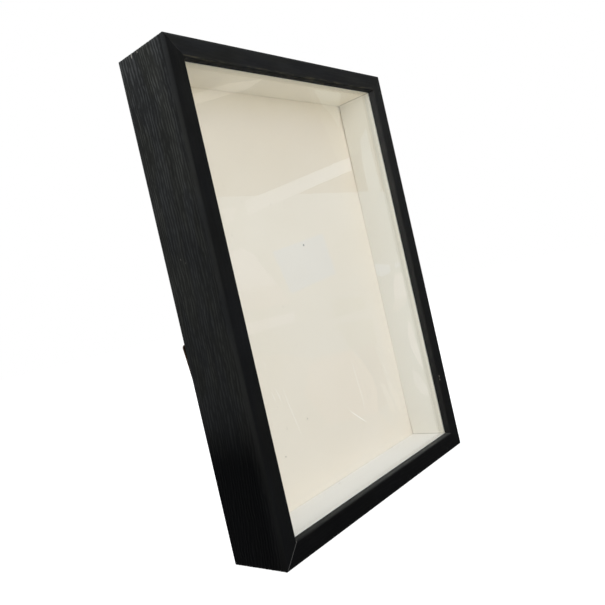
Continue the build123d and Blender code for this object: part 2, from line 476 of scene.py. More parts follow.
@dataclass(frozen=True, kw_only=True)
class Card(Surface):
    """Matt card with a faint fibre and a slow unevenness of tone."""

    light: Colour
    shade: Colour
    specular: float = 0.3
    roughness: float = 0.85
    fibre_scale: float = 900.0
    cloud_scale: float = 14.0

    def paint(self, f: Finish) -> None:
        """Cloud the card and give it fibre.

        Args:
            f: The material under construction.
        """
        cloud = f.noise(f.place(), self.cloud_scale, 3.0)
        fibre = f.noise(f.stretched((1.0, 1.0, 0.55)), self.fibre_scale, 3.0, 0.6)
        f.colour = self.light
        f.coat(f.ramp(cloud, 0.3, 0.7), self.shade)
        f.coat(f.times(f.ramp(fibre, 0.55, 0.75), 0.10), self.shade)
        self.age(f)
        f.set(Base_Color=f.colour, Roughness=self.roughness)
        f.bump(fibre, 0.03, 0.5)

    @abstractmethod
    def age(self, f: Finish) -> None:
        """Mark the card and paint light on it.

        Args:
            f: The material under construction.
        """


@dataclass(frozen=True, kw_only=True)
class LinerCard(Card):
    """The card of the liners, each in its own tone and tint of painted light, with painted shade down
    every mitre.
    """

    name: str = "liner_card"
    light: Colour = (0.850, 0.826, 0.757)
    shade: Colour = (0.822, 0.793, 0.718)
    # Lit copies of the card: the bottom liner painted lighter and bluer, the top one lighter and yellower.
    cool_lit_tint: Colour = (1.06, 1.06, 1.125)
    warm_lit_tint: Colour = (1.10, 1.06, 0.98)
    seam_shade: Colour = (0.20, 0.18, 0.14)
    seam: Pair = (0.10, 0.45)

    def age(self, f: Finish) -> None:
        """Paint light on each liner as a tone and a tint, and paint shade down its mitres.

        Args:
            f: The material under construction.
        """
        tint = f.attribute("tint")
        f.colour = f.scaled(f.colour, f.attribute("tone"))
        f.tint(f.ramp(tint, 0.0, 1.0), self.cool_lit_tint)
        f.tint(f.ramp(tint, -1.0, 0.0, 1.0, 0.0), self.warm_lit_tint)
        # Painted shade in the seam down each mitre.
        mitre = f.ramp(f.attribute("mitre_distance"), *self.seam, 1.0, 0.0)
        f.coat(f.times(mitre, 0.7), self.seam_shade)


@dataclass(frozen=True, kw_only=True)
class FacingPaper(Card):
    """The paper behind the specimen, flecked, and pierced by its pin.

    Its head is painted lighter against the top liner's shade, from one height up to another, in metres.
    The hole and its tear are in mm.
    """

    pin_hole: Pair
    name: str = "facing_paper"
    light: Colour = (0.820, 0.748, 0.652)
    shade: Colour = (0.802, 0.727, 0.624)
    top_light: Colour = (1.09, 1.09, 1.04)
    top_light_from: Pair = (0.278, 0.300)
    fleck: Colour = (0.16, 0.13, 0.09)
    torn: Colour = (0.20, 0.17, 0.11)
    tear: Pair = (0.62, 0.95)

    def age(self, f: Finish) -> None:
        """Fleck the paper, paint its head lighter against the top liner's shade, and pierce it.

        Args:
            f: The material under construction.
        """
        flecks = f.ramp(f.noise(f.place(), 420.0, 1.0, 0.3), 0.74, 0.78)
        f.coat(f.times(flecks, 0.25), self.fleck)
        # Painted light at the paper's head, against the shade of the top liner.
        f.tint(f.ramp(f.height_of(f.place()), *self.top_light_from), self.top_light)
        f.coat(f.round_hole(self.pin_hole, self.tear), self.torn)


@dataclass(frozen=True, kw_only=True)
class Hardboard(Surface):
    """Brown pressed-fibre board, smooth with darker fibres and a few scuffs."""

    name: str = "hardboard"
    specular: float = 0.35
    light: Colour = (0.235, 0.145, 0.080)
    dark: Colour = (0.120, 0.070, 0.038)
    scuff: Colour = (0.060, 0.034, 0.018)

    def paint(self, f: Finish) -> None:
        """Press the fibres, cloud and scuff the board.

        Args:
            f: The material under construction.
        """
        fibre = f.noise(f.stretched((1.0, 1.0, 0.8)), 520.0, 5.0, 0.65)
        cloud = f.ramp(f.noise(f.place(), 22.0, 3.0), 0.4, 0.7)
        scuffs = f.ramp(f.noise(f.place(), 260.0, 2.0, 0.5), 0.60, 0.72)
        f.colour = self.dark
        f.coat(f.ramp(fibre, 0.35, 0.65), self.light)
        f.coat(f.times(cloud, 0.35), self.dark)
        f.coat(f.times(scuffs, 0.5), self.scuff)
        f.set(Base_Color=f.colour, Roughness=f.ramp(fibre, 0.3, 0.7, 0.50, 0.68))
        f.bump(fibre, 0.06, 0.6)


@dataclass(frozen=True, kw_only=True)
class Foam(Surface):
    """White foam core, seen at the cut edges of the pinning board, and stained where the pin was."""

    pin_hole: Pair
    name: str = "foam_core"
    specular: float = 0.3
    base: Colour = (0.80, 0.79, 0.75)
    cell: Colour = (0.52, 0.51, 0.47)
    stain: Colour = (0.05, 0.04, 0.03)
    bore: Pair = (0.6, 0.9)

    def paint(self, f: Finish) -> None:
        """Fill the foam with cells and stain the pin's hole.

        Args:
            f: The material under construction.
        """
        cells = f.wire("ShaderNodeTexVoronoi", {"Vector": f.place(), "Scale": 2400.0}, "Distance")
        wall = f.ramp(cells, 0.1, 0.6)
        f.colour = self.base
        f.coat(f.times(wall, 0.18), self.cell)
        f.coat(f.round_hole(self.pin_hole, self.bore), self.stain)
        f.set(Base_Color=f.colour, Roughness=0.8)
        f.bump(wall, 0.08, 0.6)


@dataclass(frozen=True, kw_only=True)
class Plated(Surface):
    """Plated sheet or wire: fine rolling lines and dull patches."""

    bright: Colour
    dull: Colour
    roughness: float
    rolling: Place = (900.0, 900.0, 90.0)

    def paint(self, f: Finish) -> None:
        """Roll the metal and let it tarnish.

        Args:
            f: The material under construction.
        """
        tarnish = f.noise(f.place(), 240.0, 4.0, 0.6)
        colour = f.blend(f.ramp(tarnish, 0.42, 0.68), self.bright, self.dull)
        rough = f.ramp(tarnish, 0.35, 0.7, self.roughness - 0.06, self.roughness + 0.16)
        f.set(Base_Color=colour, Metallic=1.0, Roughness=rough)
        f.bump(f.noise(f.stretched(self.rolling), 1.0, 3.0, 0.55), 0.02, 0.35)


@dataclass(frozen=True, kw_only=True)
class Rubber(Surface):
    """Matt black rubber with a moulded stipple and dust."""

    name: str = "bumper_rubber"
    specular: float = 0.35
    base: Colour = (0.022, 0.022, 0.022)
    dusty: Colour = (0.060, 0.058, 0.054)

    def paint(self, f: Finish) -> None:
        """Dust the rubber and stipple it.

        Args:
            f: The material under construction.
        """
        dust = f.ramp(f.noise(f.place(), 350.0, 4.0, 0.6), 0.45, 0.75)
        f.set(Base_Color=f.blend(dust, self.base, self.dusty), Roughness=0.78)
        f.bump(f.noise(f.place(), 1800.0, 2.0), 0.05, 0.5)


@dataclass(frozen=True, kw_only=True)
class Glint(Surface):
    """The bright broken edge of a scratch in glass."""

    name: str = "scratch_glint"
    bright: Colour = (1.0, 0.975, 0.92)
    dim: Colour = (0.92, 0.89, 0.83)

    def paint(self, f: Finish) -> None:
        """Break the glint into chips.

        Args:
            f: The material under construction.
        """
        chips = f.ramp(f.noise(f.place(), 900.0, 2.0), 0.35, 0.65)
        f.set(Base_Color=f.blend(chips, self.bright, self.dim), Metallic=1.0, Roughness=0.3)


@dataclass(frozen=True, kw_only=True)
class Grit(Surface):
    """Dark dust and fibre crumbs."""

    name: str = "dust_grit"
    specular: float = 0.2
    base: Colour = (0.10, 0.085, 0.065)
    pale: Colour = (0.25, 0.22, 0.17)

    def paint(self, f: Finish) -> None:
        """Mottle the grit.

        Args:
            f: The material under construction.
        """
        mottle = f.ramp(f.noise(f.place(), 4000.0, 2.0), 0.4, 0.6)
        f.set(Base_Color=f.blend(mottle, self.base, self.pale), Roughness=0.9)


@dataclass(frozen=True, kw_only=True)
class PaleFloor(Surface):
    """A pale floor that is white to the eye away from the case's shadow, and white in reflections."""

    name: str = "floor_pale"
    specular: float = 0.0
    base: Colour = (0.60, 0.60, 0.60)
    glow: float = 0.80

    def paint(self, f: Finish) -> None:
        """Let the floor glow to the eye, and show white in reflections.

        Args:
            f: The material under construction.
        """
        glow = f.times(f.ray("Is Camera Ray"), self.glow)
        f.set(Base_Color=self.base, Roughness=1.0, Emission_Color=WHITE, Emission_Strength=glow)
        mirrored = f.ray("Is Glossy Ray", "Is Transmission Ray")
        white = f.wire("ShaderNodeEmission", {"Color": WHITE})
        f.feed(f.surface, f.either(mirrored, f.shader.outputs[0], white))


# ------------------------------------------------------------------ pieces and recipes
def new_piece(name: str, mesh: bpy.types.Mesh) -> bpy.types.Object:
    """Link a mesh into the scene as a piece at the origin.

    Args:
        name: The piece's name.
        mesh: Its mesh.

    Returns:
        The new object.
    """
    piece = bpy.data.objects.new(name, mesh)
    bpy.context.scene.collection.objects.link(piece)
    return piece


def sheet(name: str, corners: tuple[Place, ...]) -> bpy.types.Object:
    """Make a piece of one flat face.

    Args:
        name: The piece's name.
        corners: The face's corners, in metres.

    Returns:
        The new object.
    """
    mesh = bpy.data.meshes.new(name)
    mesh.from_pydata(corners, [], [tuple(range(len(corners)))])
    return new_piece(name, mesh)


def store_points(mesh: bpy.types.Mesh, name: str, values: list[float]) -> None:
    """Give a mesh's points a number each, as a named attribute."""
    mesh.attributes.new(name, "FLOAT", "POINT").data.foreach_set("value", values)


def finish_piece(piece: bpy.types.Object, place: Matrix, body: Body, slot: str,
                 node: str | None = None) -> None:
    """Put a made piece in its place with its faces outwards, and log its name and number of faces.

    Args:
        piece: The piece, still at the origin.
        place: Its place in the case.
        body: The body that it rides on.
        slot: Its material slot; not used.
        node: The CAD node that it replaces, if it does.
    """
    mesh = piece.data
    mesh.transform(place)
    work = bmesh.new()
    work.from_mesh(mesh)
    bmesh.ops.recalc_face_normals(work, faces=work.faces)
    if work.calc_volume(signed=True) < 0:
        bmesh.ops.reverse_faces(work, faces=work.faces)
    work.to_mesh(mesh)
    work.free()
    if node:
        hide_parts(node)
    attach(piece, body.value)
    LOG.info("%s: %d faces", piece.name, len(mesh.polygons))


class Recipe(Board):
    """A geometry tree with named inputs, run once on a piece."""

    def __init__(self, name: str, **inputs: object) -> None:
        """Start the tree.

        Args:
            name: The tree's name.
            inputs: Its inputs, named with _ for a space, and what each is run with: a material, or a
                whole or broken number.
        """
        super().__init__(bpy.data.node_groups.new(name, "GeometryNodeTree"))
        self.inputs = {label.replace("_", " "): value for label, value in inputs.items()}
        face = self.tree.interface
        face.new_socket("Geometry", in_out="INPUT", socket_type="NodeSocketGeometry")
        for label, value in self.inputs.items():
            number = "Int" if isinstance(value, int) else "Float"
            kind = "Material" if isinstance(value, bpy.types.Material) else number
            face.new_socket(label, in_out="INPUT", socket_type=f"NodeSocket{kind}")
        face.new_socket("Geometry", in_out="OUTPUT", socket_type="NodeSocketGeometry")
        self.source = self.tree.nodes.new("NodeGroupInput").outputs
        self.sink = self.tree.nodes.new("NodeGroupOutput").inputs[0]

    def named(self, name: str) -> Socket:
        """A point attribute of the geometry, as a number."""
        return self.wire("GeometryNodeInputNamedAttribute", {"Name": name}, data_type="FLOAT")

    def between(self, name: str, share: Socket) -> Socket:
        """Run from the input's start, at a share of 0, to its end, at a share of 1."""
        start, end = self.source[f"{name} Start"], self.source[f"{name} End"]
        return self.math("MULTIPLY_ADD", share, self.less(end, start), start)

    def store(self, geometry: Socket, name: str, value: Socket) -> Socket:
        """Store a number or a vector on the geometry's points.

        Args:
            geometry: The geometry.
            name: The attribute's name.
            value: What each point gets.

        Returns:
            The geometry that holds it.
        """
        kind = "FLOAT_VECTOR" if value.type == "VECTOR" else "FLOAT"
        values = {"Geometry": geometry, "Name": name, "Value": value}
        return self.wire("GeometryNodeStoreNamedAttribute", values, data_type=kind, domain="POINT")

    def run(self, piece: bpy.types.Object, geometry: Socket) -> None:
        """End the tree in Realize Instances and Set Material, and run it on a piece as its plain mesh.

        Args:
            piece: The piece.
            geometry: What the tree has made.
        """
        real = self.wire("GeometryNodeRealizeInstances", {0: geometry})
        dressing = {"Geometry": real, "Material": self.source["Material"]}
        self.feed(self.sink, self.wire("GeometryNodeSetMaterial", dressing))
        modifier = piece.modifiers.new(self.tree.name, "NODES")
        modifier.node_group = self.tree
        for item in self.tree.interface.items_tree:
            if item.item_type == "SOCKET" and item.in_out == "INPUT" and item.name in self.inputs:
                modifier[item.identifier] = self.inputs[item.name]
        piece.update_tag()
        graph = bpy.context.evaluated_depsgraph_get()
        mesh = bpy.data.meshes.new_from_object(
            piece.evaluated_get(graph), preserve_all_data_layers=True, depsgraph=graph
        )
        piece.modifiers.clear()
        piece.data = mesh


# ------------------------------------------------------------------ members
@dataclass
class SectionPoint:
    """A point of a member's section, inwards and to the back from its outer front corner, in mm.

    Its other values are the grain's relief there, its share of the brushed outer side's tone, which is
    painted lighter than the front, of the sight edge and of the reveal, the way out of the wood, and how
    far round the section it lies.
    """

    inward: float
    depth: float
    relief: float = 0.0
    ribbed_and_lit: float = 0.0
    sight_edge: float = 0.0
    reveal: float = 0.0
    out_inward: float = 0.0
    out_depth: float = 0.0
    station: float = 0.0


class Section:
    """A member's closed outline, drawn point by point with what the grain does at each point."""

    rise_reach: float = 7.0

    def __init__(self) -> None:
        """Start an empty outline."""
        self.points: list[SectionPoint] = []

    def arc(self, centre: Pair, radius: float, start: float, steps: int, sight_edge: float = 0.0,
            ribbed_and_lit: Pair = (0.0, 0.0), reveal: float = 0.0) -> None:
        """Add a quarter of a circle.

        Args:
            centre: Its centre, inwards and to the back.
            radius: Its radius.
            start: Angle of its first point in degrees; it runs back by 90 from there.
            steps: Number of chords.
            sight_edge: How far it is part of the sight edge.
            ribbed_and_lit: Share of the brushed face's tone at its two ends.
            reveal: How far its start is part of the reveal; its end isn't.
        """
        for step in range(steps + 1):
            angle = math.radians(start - 90 * step / steps)
            self.points.append(SectionPoint(
                centre[0] + radius * math.cos(angle), centre[1] + radius * math.sin(angle),
                ribbed_and_lit=ribbed_and_lit[0] + (ribbed_and_lit[1] - ribbed_and_lit[0]) * step / steps, sight_edge=sight_edge,
                reveal=reveal * (1 - step / steps),
            ))

    def line(self, end: Pair, pitch: float, relief: float = 0.0, ribbed_and_lit: float = 0.0,
             fade: float = 0.0, reveal: float = 0.0, rise: float = 0.0) -> None:
        """Add points on the way to end, without end itself, about a pitch apart.

        Args:
            end: Where the line goes.
            pitch: Distance between points.
            relief: Share of the grain's relief and ribs on it.
            ribbed_and_lit: Share of the brushed face's tone.
            fade: Length at either end over which the relief comes in.
            reveal: How far it is part of the reveal, where dust lies.
            rise: How far that tone is down at the line's start; it is whole again a rise_reach on.
        """
        last = self.points[-1]
        run = math.hypot(end[0] - last.inward, end[1] - last.depth)
        count = max(1, round(run / pitch))
        for step in range(1, count):
            t = step / count
            share = min(1.0, t * run / fade, (1 - t) * run / fade) if fade else 1.0
            share = share * share * (3 - 2 * share)
            self.points.append(SectionPoint(
                last.inward + (end[0] - last.inward) * t, last.depth + (end[1] - last.depth) * t,
                relief * share, ribbed_and_lit - rise * max(0.0, 1 - t * run / self.rise_reach), reveal=reveal,
            ))

    def corners(self, *spots: Pair) -> None:
        """Add sharp corners without relief."""
        self.points += [SectionPoint(*spot) for spot in spots]

    def soften(self, reach: float) -> None:
        """Spread the sight edge's share to the points near it.

        Args:
            reach: Distance at which nothing is left of it.
        """
        edge = [(p.inward, p.depth) for p in self.points if p.sight_edge]
        for point in self.points:
            for inward, depth in edge:
                near = 1 - math.hypot(inward - point.inward, depth - point.depth) / reach
                point.sight_edge = max(point.sight_edge, near, 0.0)

    def mesh(self, name: str) -> bpy.types.Mesh:
        """Build the outline as a closed loop of edges with its points' values as attributes.

        Args:
            name: The mesh's name.

        Returns:
            The outline's mesh.
        """
        count = len(self.points)
        for i, point in enumerate(self.points):
            before, after = self.points[i - 1], self.points[(i + 1) % count]
            way = Vector((after.inward - before.inward, after.depth - before.depth)).normalized()
            point.out_inward, point.out_depth = -way.y, way.x
            if i:
                step = math.hypot(point.inward - before.inward, point.depth - before.depth)
                point.station = before.station + step
        mesh = bpy.data.meshes.new(name)
        ring = [(i, (i + 1) % count) for i in range(count)]
        mesh.from_pydata([(p.inward, p.depth, 0) for p in self.points], ring, [])
        for value in fields(SectionPoint):
            store_points(mesh, value.name, [getattr(p, value.name) for p in self.points])
        return mesh


@dataclass(frozen=True)
class Layer:
    """One layer of a bar's grain: its features' size round the section and along it, in mm.

    Its number sets it apart from the other layers.
    """

    across: float
    along: float
    number: float
    detail: float = 1.0

    def wire(self, r: Recipe, along: Socket) -> Socket:
        """Wire the layer's noise.

        Args:
            r: The recipe that it goes into.
            along: Place along the bar.

        Returns:
            The noise's socket, 0 to 1.
        """
        round_section = r.math("DIVIDE", r.named("station"), self.across)
        down_bar = r.math("DIVIDE", along, self.along)
        place = r.vector(round_section, down_bar, r.plus(r.source["Seed"], self.number))
        return r.noise(place, 1.0, self.detail, 0.55)


@dataclass(frozen=True)
class RibbedGrain:
    """Broken ribs that run and waver along a bar, with fibre on them.

    They waver by a reach in mm and drift by turns of a rib's pitch.
    """

    waver: Layer = Layer(5.5, 9.0, 0.0, 2.0)
    waver_reach: float = 3.0
    drift: Layer = Layer(13.0, 85.0, 3.0)
    drift_turns: float = 2.6
    lasting: Layer = Layer(1.7, 15.0, 7.0)
    broken: Layer = Layer(1.5, 5.0, 9.0, 2.0)
    fibre: Layer = Layer(0.9, 5.0, 11.0, 3.0)
    rib_share: float = 0.85
    fibre_share: float = 0.42

    def wire(self, r: Recipe, along: Socket) -> Socket:
        """Wire the grain's height.

        Args:
            r: The recipe that it goes into.
            along: Place along the bar.

        Returns:
            The height's socket, 0 to 1.
        """
        waver = r.less(self.waver.wire(r, along), 0.5)
        drift = r.less(self.drift.wire(r, along), 0.5)
        wavering = r.math("MULTIPLY_ADD", waver, self.waver_reach, r.named("station"))
        turns = r.math("DIVIDE", wavering, r.source["Rib Pitch"])
        turns = r.math("MULTIPLY_ADD", drift, self.drift_turns, turns)
        leaning = r.math("MULTIPLY_ADD", along, r.source["Bow"], r.source["Lean"])
        turns = r.math("MULTIPLY_ADD", along, leaning, turns)
        ribs = r.ramp(r.math("COSINE", r.times(turns, 2 * math.pi)), -0.9, 0.9)
        lasting = r.ramp(self.lasting.wire(r, along), 0.34, 0.58, 0.42, 1.0)
        broken = r.ramp(self.broken.wire(r, along), 0.32, 0.64, 0.26, 1.0)
        height = r.times(ribs, lasting, broken, self.rib_share)
        height = r.math("MULTIPLY_ADD", self.fibre.wire(r, along), self.fibre_share, height)
        return r.ramp(height, 0.08, 0.98)


@dataclass(frozen=True)
class AgeingAndLight:
    """How a bar has worn, and the light painted on it. Three numbers are a share at its start, at its end,
    and how it bends between.

    A bar has a share of stain rubbed off, of each mitre left open, drawn pale as fill with a painted
    glint, of fade and painted light outside and in front, and of dust; a length of foot in painted
    shadow; a tint, warm or cool, and a tone in front and at the rear, both painted light; and at either
    end a sliver off its rear edge, by its length and depth, in mm.
    """

    wear: float = 0.0
    open_mitres: Pair = (0.0, 0.0)
    fade_and_light: tuple[float, float, float] = (1.0, 1.0, 1.0)
    front_fade_and_light: tuple[float, float, float] = (1.0, 1.0, 1.0)
    dusty: tuple[float, float, float] = (0.0, 0.0, 1.0)
    dark_foot: float = 0.0
    tint: float = 0.0
    tone: Pair = (1.0, 1.0)
    sliver_start: Pair = (1.0, 0.0)
    sliver_end: Pair = (1.0, 0.0)

    def inputs(self) -> dict[str, float]:
        """Name the numbers as inputs of a bar's recipe.

        Returns:
            The inputs.
        """
        ends, run = ("Start", "End"), ("Start", "End", "Bend")
        parts = {
            "OpenAndGlint": (ends, self.open_mitres), "FadeAndLight": (run, self.fade_and_light),
            "Front_FadeAndLight": (run, self.front_fade_and_light), "Dusty": (run, self.dusty),
            "Tone": (("Front", "Rear"), self.tone),
            "Sliver_Length": (ends, (self.sliver_start[0], self.sliver_end[0])),
            "Sliver_Depth": (ends, (self.sliver_start[1], self.sliver_end[1])),
        }
        named = {f"{name}_{part}": value for name, (labels, values) in parts.items()
                 for part, value in zip(labels, values)}
        return {"Wear": self.wear, "Dark_Foot": self.dark_foot, "Tint": self.tint, **named}


@dataclass(kw_only=True)
class Member:
    """A mitred bar on one side of the case, swept from its section by geometry nodes, in mm.

    Slivers come off what lies deeper than rear_from, and the tone, a painted light, turns over
    tone_reach from the front.
    """

    name: str
    side: Side
    section: Section
    length: float
    stations: int
    relief_depth: float
    rib_pitch: float
    seed: float
    ageing_and_light: AgeingAndLight
    grain: RibbedGrain = RibbedGrain()
    corner_radius: float = 0.0
    lean: float = 0.0
    bow: float = 0.0
    thickness: float = 0.0
    rear_from: float = 10.0
    tone_reach: float = 6.0

    def swept(self, r: Recipe) -> Socket:
        """Wire the section's sweep along a straight spine, from -1 to 1.

        Args:
            r: The recipe that it goes into.

        Returns:
            The swept bar's socket.
        """
        outline = r.wire("GeometryNodeMeshToCurve", {0: r.source["Geometry"]})
        spine = r.wire("GeometryNodeCurvePrimitiveLine", {"Start": (0, 0, -1), "End": (0, 0, 1)})
        rungs = r.wire("GeometryNodeResampleCurve", {"Curve": spine, "Count": r.source["Stations"]})
        run = r.store(rungs, "run", r.height_of(r.wire("GeometryNodeInputPosition")))
        bar = {"Curve": run, "Profile Curve": outline, "Fill Caps": True}
        return r.wire("GeometryNodeCurveToMesh", bar)

    def aged_and_lit(self, r: Recipe, from_start: Socket) -> dict[str, Socket]:
        """Wire how the bar's looks change along it.

        Args:
            r: The recipe that they go into.
            from_start: Distance from the bar's start.

        Returns:
            The sockets of its fade and painted light, its tint and tone, which are painted light,
            and its dust, by their attributes' names.
        """
        share = r.math("DIVIDE", from_start, r.source["Length"])

        def along_run(name: str) -> Socket:
            """The input's value here, from its start to its end."""
            return r.between(name, r.math("POWER", share, r.source[f"{name} Bend"]))

        # Painted shadow over the dark foot; the fade along the bar, the front's share and the tone are
        # painted light.
        foot = r.source["Dark Foot"]
        above_foot = r.ramp(from_start, r.times(foot, 0.55), r.plus(foot, 0.01))
        outer, front = r.times(along_run("FadeAndLight"), above_foot), along_run("Front FadeAndLight")
        tones = (r.source["Tone Front"], r.source["Tone Rear"])
        return {
            "fade_and_light": r.math("MULTIPLY_ADD", r.named("ribbed_and_lit"), r.less(outer, front), front),
            "tint": r.source["Tint"],
            "tone": r.ramp(r.named("depth"), 0.0, self.tone_reach, *tones),
            "dusty": r.times(r.named("reveal"), along_run("Dusty")),
        }

    def wire(self, r: Recipe) -> Socket:
        """Wire the tree that sweeps, mitres and grains the bar.

        Args:
            r: The recipe that it goes into.

        Returns:
            The finished bar's socket.
        """
        bar = self.swept(r)

        # Stations crowd towards the ends, where the bar is mitred and its outer corner rounded.
        half = r.times(r.source["Length"], 0.5)
        radius = r.source["Corner Radius"]
        bevel = r.times(radius, 1 - math.sqrt(0.5))
        reach = r.less(half, r.math("MAXIMUM", r.named("inward"), bevel))
        along = r.times(r.math("SINE", r.times(r.named("run"), math.pi / 2)), reach)
        to_end = r.less(half, r.math("ABSOLUTE", along))
        short = r.less(radius, r.math("MINIMUM", to_end, radius))
        chord = r.less(r.times(radius, radius), r.times(short, short))
        rounded = r.less(radius, r.math("SQRT", r.math("MAXIMUM", chord, 0.0)))

        grain = self.grain.wire(r, along)
        cut = r.times(r.less(1.0, grain), r.source["Relief Depth"], r.named("relief"))
        inward = r.math("MAXIMUM", r.named("inward"), rounded)
        inward = r.less(inward, r.times(r.named("out_inward"), cut))
        depth = r.less(r.named("depth"), r.times(r.named("out_depth"), cut))

        # Slivers off the rear edge: it slopes forward to the bar's inner corner and runs on level.
        past_middle = r.math("GREATER_THAN", along, 0.0)
        from_corner = r.less(to_end, r.source["Thickness"])
        slope = r.less(1.0, r.math("DIVIDE", from_corner, r.between("Sliver Length", past_middle)))
        slope = r.math("MINIMUM", r.math("MAXIMUM", slope, 0.0), 1.0)
        rear = r.math("GREATER_THAN", r.named("depth"), self.rear_from)
        depth = r.less(depth, r.times(slope, rear, r.between("Sliver Depth", past_middle)))

        looks = {
            "grain": grain,
            "lay": r.vector(r.named("station"), along, r.source["Seed"]),
            "mitre_distance": r.less(to_end, r.named("inward")),
            "wear": r.source["Wear"],
            "open_mitre_and_glint": r.between("OpenAndGlint", past_middle),
            **self.aged_and_lit(r, r.plus(half, along)),
        }
        for name, value in looks.items():
            bar = r.store(bar, name, value)
        placed = {"Geometry": bar, "Position": r.vector(inward, depth, along)}
        return r.wire("GeometryNodeSetShadeSmooth", {0: r.wire("GeometryNodeSetPosition", placed)})

    def build(self, node: str, origin: Vector, slot: str, material: bpy.types.Material) -> None:
        """Make the bar in its place in the case.

        Args:
            node: The CAD node that it replaces.
            origin: The middle of its outer front corner, in metres.
            slot: Its material slot.
            material: Its finish.
        """
        r = Recipe(
            f"sweep_{self.name}", Length=self.length, Stations=self.stations, Thickness=self.thickness,
            Corner_Radius=self.corner_radius, Relief_Depth=self.relief_depth, Rib_Pitch=self.rib_pitch,
            Lean=self.lean, Bow=self.bow, Seed=self.seed, Material=material, **self.ageing_and_light.inputs(),
        )
        piece = new_piece(self.name, self.section.mesh(self.name))
        r.run(piece, self.wire(r))
        back = Vector((0, 1, 0))
        turn = Matrix((self.side.inward, back, self.side.along)).transposed().to_4x4()
        finish_piece(piece, Matrix.Translation(origin) @ turn @ Matrix.Scale(MM, 4), Body.CASE, slot, node)


@dataclass
class Mouldings:
    """The four black mouldings of the frame, which stand for the plain rails and stiles, in mm."""

    front_edge: float = 1.5
    back_edge: float = 1.0
    sight_edge: float = 1.0
    corner: float = 1.9
    wall: float = 8.0
    lip: float = 13.2
    lip_thickness: float = 5.4
    nail_proud: float = 0.06
    rib_pitch: float = 2.3
    relief: float = 0.17
    lean: float = 0.018
    bow: float = -0.00013
    stile_stations: int = 260
    rail_stations: int = 200
    first_seed: float = 11.0
    seed_step: float = 7.3
    # Painted light and shade: the top rail lit, the bottom rail dark, the right stile darker downwards,
    # the left stile darker down to a foot of painted shadow.
    ageing_and_light: tuple[tuple[str, Side, AgeingAndLight], ...] = (
        ("top_rail", Side.TOP, AgeingAndLight(
            wear=1.0, fade_and_light=(0.95, 0.95, 1.0), front_fade_and_light=(1.06, 1.06, 1.0), open_mitres=(0.28, 0.0))),
        ("bottom_rail", Side.BOTTOM, AgeingAndLight(
            wear=0.10, fade_and_light=(0.10, 0.10, 1.0), front_fade_and_light=(0.0, 0.16, 1.0), open_mitres=(0.0, 1.0),
            dusty=(0.84, 0.34, 1.8))),
        ("left_stile", Side.LEFT, AgeingAndLight(
            wear=0.12, fade_and_light=(0.43, 1.02, 3.4), front_fade_and_light=(0.20, 0.56, 0.4), dark_foot=108.0)),
        ("right_stile", Side.RIGHT, AgeingAndLight(
            wear=0.15, fade_and_light=(0.90, 0.10, 1.0), front_fade_and_light=(1.30, 0.08, 0.5), dusty=(0.46, 0.20, 0.5))),
    )

    def section(self, frame_depth: float) -> Section:
        """Draw the moulding's section: outer face, back, rebate, lip and front.

        Args:
            frame_depth: Depth of the frame.

        Returns:
            The closed outline.
        """
        shape = Section()
        front, back, sight = self.front_edge, self.back_edge, self.sight_edge
        rear = frame_depth - self.nail_proud
        shape.arc((front, front), front, 270, 6, ribbed_and_lit=(0.3, 0.62))
        shape.line((0, rear - back), 0.30, relief=1.0, ribbed_and_lit=1.0, fade=1.3, rise=0.36)
        shape.arc((back, rear - back), back, 180, 5, ribbed_and_lit=(1.0, 0.5))
        shape.line((self.wall, rear), 0.6, relief=0.3, ribbed_and_lit=0.5, fade=0.8)
        shape.corners((self.wall, rear), (self.wall, self.lip_thickness), (self.lip, self.lip_thickness))
        shape.line((self.lip, sight), 0.5, relief=0.1, ribbed_and_lit=0.4, fade=0.8, reveal=1.0)
        shape.arc((self.lip - sight, sight), sight, 0, 5, sight_edge=1.0, reveal=0.85)
        shape.line((front, 0), 0.5, relief=0.12, fade=1.5)
        shape.soften(0.9)
        return shape

    def build(self, material: bpy.types.Material) -> None:
        """Make the four mouldings.

        Args:
            material: Their finish.
        """
        left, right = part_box("left_stile")[0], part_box("right_stile")[1]
        bottom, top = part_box("bottom_rail")[0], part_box("top_rail")[1]
        width, height = (right.x - left.x) / MM, (top.z - bottom.z) / MM
        frame_depth = (right.y - left.y) / MM
        for number, (node, side, ageing_and_light) in enumerate(self.ageing_and_light):
            outer = Vector((0, left.y, (bottom.z + top.z) / 2))
            outer -= side.inward * (width if side.upright else height) / 2 * MM
            Member(
                name=f"{node}_grained", side=side, section=self.section(frame_depth), ageing_and_light=ageing_and_light,
                length=height if side.upright else width,
                stations=self.stile_stations if side.upright else self.rail_stations,
                corner_radius=self.corner, relief_depth=self.relief, rib_pitch=self.rib_pitch,
                lean=self.lean, bow=self.bow, seed=self.first_seed + self.seed_step * number,
            ).build(node, outer, "black_wood", material)


